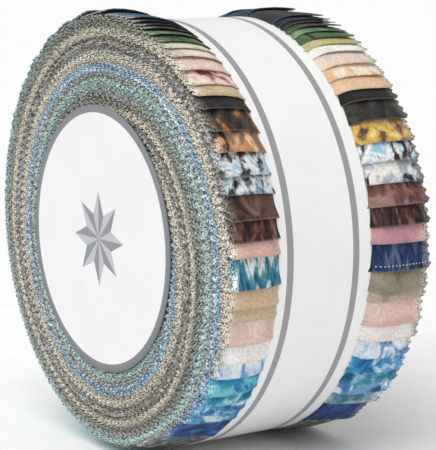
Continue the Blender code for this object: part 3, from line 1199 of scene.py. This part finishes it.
@dataclass
class PaperBand:
    """The paper band round the middle of the roll, with its glued overlap out of sight.

    Attributes:
        centre: the roll's middle.
        front: where its front edge lies along Y.
        back: where its back edge lies along Y.
        paper: thickness of the paper.
        inner_radius: radius of its inner side.
        steps: number of cells round it.
        seam: angle at which the paper starts.
        overlap: angle over which it is glued on itself.
        climb: angle over which it climbs on its own start.
        glue: room between the two layers of the overlap.
        line_width: width of each printed line.
        front_margin: plain paper in front of the front line.
        back_margin: plain paper behind the back line.
        edge_cell: width of the cell along each edge.
        middle_cells: number of places across the plain middle.
        spring: how far its two edges spring out.
        spring_reach: how far in from the edge that reaches.
        wave: height of the paper's slight waves.
        wave_count: number of waves round it.
        wave_shift: distance across the paper over which they turn by one radian.
    """

    centre: Vector
    front: float
    back: float
    paper: float = 0.22 * MM
    inner_radius: float = 58.30 * MM
    steps: int = 240
    seam: float = math.radians(236)
    overlap: float = math.radians(16)
    climb: float = math.radians(8)
    glue: float = 0.04 * MM
    line_width: float = 2.0 * MM
    front_margin: float = 2.6 * MM
    back_margin: float = 4.0 * MM
    edge_cell: float = 0.6 * MM
    middle_cells: int = 7
    spring: float = 0.10 * MM
    spring_reach: float = 0.8 * MM
    wave: float = 0.03 * MM
    wave_count: int = 5
    wave_shift: float = 9.0 * MM

    @property
    def places_across(self) -> list[float]:
        """Gives the places across the paper where it bends or its printed lines begin and end."""
        front_line = self.front + self.front_margin
        back_line = self.back - self.back_margin
        middle = np.linspace(front_line + self.line_width, back_line - self.line_width, self.middle_cells)
        return [self.front, self.front + self.edge_cell, front_line, *middle, back_line,
                self.back - self.edge_cell, self.back]

    def build(self) -> bpy.types.Object:
        """Spins the paper's section round the axis and a little further, then shapes and dresses it.

        Returns:
            The band's object.
        """
        places = self.places_across
        mesh = bmesh.new()
        turn = Matrix.Rotation(self.seam, 3, "Y")
        verts = [mesh.verts.new(turn @ Vector((0, place, self.inner_radius))) for place in places]
        edges = [mesh.edges.new(pair) for pair in zip(verts, verts[1:])]
        bmesh.ops.spin(mesh, geom=verts + edges, cent=(0, 0, 0), axis=(0, 1, 0), angle=math.tau + self.overlap,
                       steps=self.steps)
        self.shape(mesh, len(places))
        bmesh.ops.recalc_face_normals(mesh, faces=mesh.faces)
        for face in mesh.faces:
            middle = face.calc_center_median().y
            in_front = 0 < middle - self.front - self.front_margin < self.line_width
            in_back = 0 < self.back - self.back_margin - middle < self.line_width
            face.material_index = 1 if in_front or in_back else 0
        face_out(mesh, self.centre)
        piece = add_piece("paper_band", mesh)
        piece.data.materials.append(CoatedPaper("band_paper", "F4F4F2", 0.34).material())
        piece.data.materials.append(CoatedPaper("band_line", "9A9C9C", 0.36).material())
        thicken(piece, self.paper, 1.0)
        declare(piece, "band")
        return piece

    def shape(self, mesh: bmesh.types.BMesh, rows: int) -> None:
        """Lifts the overlap over the paper's start, and gives the paper its slight waves.

        Args:
            mesh: the spun paper, before its thickness.
            rows: number of points across the paper.
        """
        mesh.verts.ensure_lookup_table()
        for index, vert in enumerate(mesh.verts):
            turned = index // rows / self.steps * (math.tau + self.overlap)
            angle = self.seam + turned
            over = turned - (math.tau - self.climb)
            lift = min(max(over / self.climb, 0.0), 1.0) * (self.paper + self.glue)
            edge = min(vert.co.y - self.front, self.back - vert.co.y)
            lift += self.spring * math.exp(-edge / self.spring_reach)
            lift += self.wave * math.sin(self.wave_count * angle + vert.co.y / self.wave_shift)
            radius = self.inner_radius + lift
            vert.co.x = self.centre.x + radius * math.sin(angle)
            vert.co.z = self.centre.z + radius * math.cos(angle)


@dataclass
class RoundCard:
    """The white card on the front face, with its plain grey border.

    Attributes:
        lowest: lowest corner of the card's solid.
        highest: highest corner of the card's solid.
        thickness: thickness of the card.
        border: width of the border.
        gap: how far the card stands from the back of its solid.
        segments: number of edges round it.
        rings: number of rings of cells inside the border.
        ring_share: width of one ring, as a share of the radius.
        bow: how far the card is bowed.
        bow_turn: angle that the bow is turned by.
    """

    lowest: Vector
    highest: Vector
    thickness: float = 0.35 * MM
    border: float = 2.05 * MM
    gap: float = 0.05 * MM
    segments: int = 128
    rings: int = 6
    ring_share: float = 1 / 7.5
    bow: float = 0.12 * MM
    bow_turn: float = 0.8

    @property
    def centre(self) -> Vector:
        """Gives the middle of the card's solid."""
        return (self.lowest + self.highest) / 2

    @property
    def radius(self) -> float:
        """Gives the card's radius."""
        return (self.highest.x - self.lowest.x) / 2

    def build(self) -> bpy.types.Object:
        """Makes the disc, its border and its slight bow, and dresses it.

        Returns:
            The card's object.
        """
        mesh = bmesh.new()
        bmesh.ops.create_circle(mesh, cap_ends=True, segments=self.segments, radius=self.radius)
        bmesh.ops.inset_region(mesh, faces=mesh.faces[:], thickness=self.border, use_even_offset=True,
                               use_boundary=True)
        for face in mesh.faces:
            face.material_index = 1 if len(face.verts) == 4 else 0
        for _ in range(self.rings):
            inner = [face for face in mesh.faces if len(face.verts) > 4]
            bmesh.ops.inset_region(mesh, faces=inner, thickness=self.radius * self.ring_share,
                                   use_even_offset=True)
        centre = self.centre
        for vert in mesh.verts:
            far = vert.co.xy.length / self.radius
            bow = self.bow * math.sin(2 * math.atan2(vert.co.y, vert.co.x) + self.bow_turn) * far ** 2
            vert.co = (centre.x + vert.co.x, self.highest.y + self.gap - bow, centre.z + vert.co.y)
        bmesh.ops.recalc_face_normals(mesh, faces=mesh.faces)
        mesh.normal_update()
        mesh.faces.ensure_lookup_table()
        if mesh.faces[0].normal.y > 0:
            bmesh.ops.reverse_faces(mesh, faces=mesh.faces)
        piece = add_piece("round_card", mesh)
        piece.data.materials.append(PatchworkStar(Vector((centre.x, 0.0, centre.z))).material())
        piece.data.materials.append(CoatedPaper("card_border", "85888C", 0.55).material())
        thicken(piece, self.thickness, -1.0)
        declare(piece, "label")
        return piece


def add_piece(name: str, mesh: bmesh.types.BMesh) -> bpy.types.Object:
    """Turns a finished bmesh into a smooth-shaded object at the origin.

    Args:
        name: the piece's name.
        mesh: its mesh, which is freed.

    Returns:
        The object.
    """
    data = bpy.data.meshes.new(name)
    mesh.to_mesh(data)
    mesh.free()
    data.shade_smooth()
    piece = bpy.data.objects.new(name, data)
    bpy.context.scene.collection.objects.link(piece)
    return piece


def thicken(piece: bpy.types.Object, thickness: float, offset: float) -> bpy.types.Modifier:
    """Gives a sheet its thickness.

    Args:
        piece: the sheet's object.
        thickness: how thick it is.
        offset: 1 to grow outwards, -1 inwards and 0 both ways.

    Returns:
        The modifier.
    """
    solid = piece.modifiers.new("thickness", "SOLIDIFY")
    solid.thickness = thickness
    solid.offset = offset
    return solid


def face_out(mesh: bmesh.types.BMesh, centre: Vector) -> None:
    """Turns an open ring's faces away from its axis.

    Args:
        mesh: the ring.
        centre: a point on its axis.
    """
    mesh.normal_update()
    mesh.faces.ensure_lookup_table()
    face = mesh.faces[0]
    away = face.calc_center_median() - centre
    away.y = 0.0
    if face.normal.dot(away) < 0:
        bmesh.ops.reverse_faces(mesh, faces=mesh.faces)


def declare(piece: bpy.types.Object, node: str) -> None:
    """Rides a piece on the part's body, in place of a solid.

    Args:
        piece: the piece.
        node: the solid's node.
    """
    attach(piece, BODY)
    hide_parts(node)


@dataclass
class Studio:
    """The pale floor, the soft light and the camera, which stands as the photograph's did.

    Attributes:
        centre: the point that the light and the camera look at.
        floor_reach: how far the floor reaches to each side.
        world_strength: brightness of the white all round.
        light_from: where the soft light comes from.
        light_strength: its strength.
        light_width: the angle that it covers, which softens its shadow.
        azimuth: the camera's angle round the roll.
        elevation: its angle above the floor.
        tilt: how far it leans.
        distance: how far it stands.
        focal_pixels: its focal length, in pixels of the photograph.
        frame_height: height of the photograph, in pixels.
        sensor_height: height of the sensor, in millimetres.
        near_limit: distance before which it sees nothing.
        aim_right: how far right of the roll's middle it is aimed, in pixels.
        aim_up: how far above it, in pixels.
    """

    centre: Vector
    floor_reach: float = 6.0
    world_strength: float = 0.58
    light_from: tuple[float, float, float] = (0.22, -0.50, 0.84)
    light_strength: float = 1.75
    light_width: float = math.radians(55)
    azimuth: float = math.radians(57.0)
    elevation: float = math.radians(8.7)
    tilt: float = math.radians(-0.3)
    distance: float = 489.0 * MM
    focal_pixels: float = 1746.0
    frame_height: int = 450
    sensor_height: float = 36.0
    near_limit: float = 10.0 * MM
    aim_right: float = 20.0
    aim_up: float = 3.2

    def build(self) -> None:
        """Makes the floor, the world, the light and the camera."""
        self.floor()
        self.world()
        self.light()
        self.camera()

    def floor(self) -> None:
        """Lays a wide pale floor under the roll."""
        mesh = bmesh.new()
        bmesh.ops.create_grid(mesh, x_segments=1, y_segments=1, size=self.floor_reach)
        piece = add_piece("floor", mesh)
        piece.data.materials.append(CoatedPaper("floor_white", "FCFCFC", 0.8).material())

    def world(self) -> None:
        """Lights the scene from all round with plain white."""
        world = bpy.data.worlds.new("studio")
        world.use_nodes = True
        back = world.node_tree.nodes["Background"]
        back.inputs["Color"].default_value = grey(1.0)
        back.inputs["Strength"].default_value = self.world_strength
        bpy.context.scene.world = world
        bpy.context.scene.view_settings.view_transform = "Standard"

    def light(self) -> None:
        """Shines one wide soft light from the upper front right, even over the whole floor."""
        place = Vector(self.light_from)
        data = bpy.data.lights.new("softbox", "SUN")
        data.energy = self.light_strength
        data.angle = self.light_width
        lamp = bpy.data.objects.new("softbox", data)
        lamp.location = self.centre + place
        lamp.rotation_euler = (-place).to_track_quat("-Z", "Y").to_euler()
        bpy.context.scene.collection.objects.link(lamp)

    def camera(self) -> None:
        """Sets the camera, aimed so that the roll comes to the photograph's place in the frame."""
        level = math.cos(self.elevation)
        back = Vector((math.sin(self.azimuth) * level, -math.cos(self.azimuth) * level,
                       math.sin(self.elevation)))
        right = Vector((math.cos(self.azimuth), math.sin(self.azimuth), 0.0))
        place = self.centre + back * self.distance
        aim = (right * self.aim_right + back.cross(right) * self.aim_up) * (self.distance / self.focal_pixels)
        data = bpy.data.cameras.new("camera")
        data.sensor_fit = "VERTICAL"
        data.sensor_height = self.sensor_height
        data.lens = self.focal_pixels * data.sensor_height / self.frame_height
        data.clip_start = self.near_limit
        camera = bpy.data.objects.new("camera", data)
        camera.location = place
        turn = (self.centre + aim - place).to_track_quat("-Z", "Y").to_matrix()
        camera.rotation_euler = (turn @ Matrix.Rotation(self.tilt, 3, "Z")).to_euler()
        bpy.context.scene.collection.objects.link(camera)
        bpy.context.scene.camera = camera


def main() -> None:
    """Builds every piece in order from the parts' boxes, then sets up the studio."""
    logging.basicConfig(level=logging.INFO, format="%(name)s: %(message)s")
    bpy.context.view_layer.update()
    band_low, band_high = (Vector(corner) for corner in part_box("band"))
    roll_low, roll_high = (Vector(corner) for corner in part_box("roll"))
    card_low, card_high = (Vector(corner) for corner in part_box("label"))
    centre = (band_low + band_high) / 2
    centre.y = (roll_low.y + roll_high.y) / 2
    stack = WoundStack(centre, roll_low.z)
    makers = [FabricStrip(number, stack) for number in range(len(STRIPS))]
    makers += [PaperBand(centre, band_low.y, band_high.y), RoundCard(card_low, card_high)]
    for maker in makers:
        piece = maker.build()
        LOG.info("%s: %d points", piece.name, len(piece.data.vertices))
    Studio(centre).build()


if __name__ == "__main__":
    main()
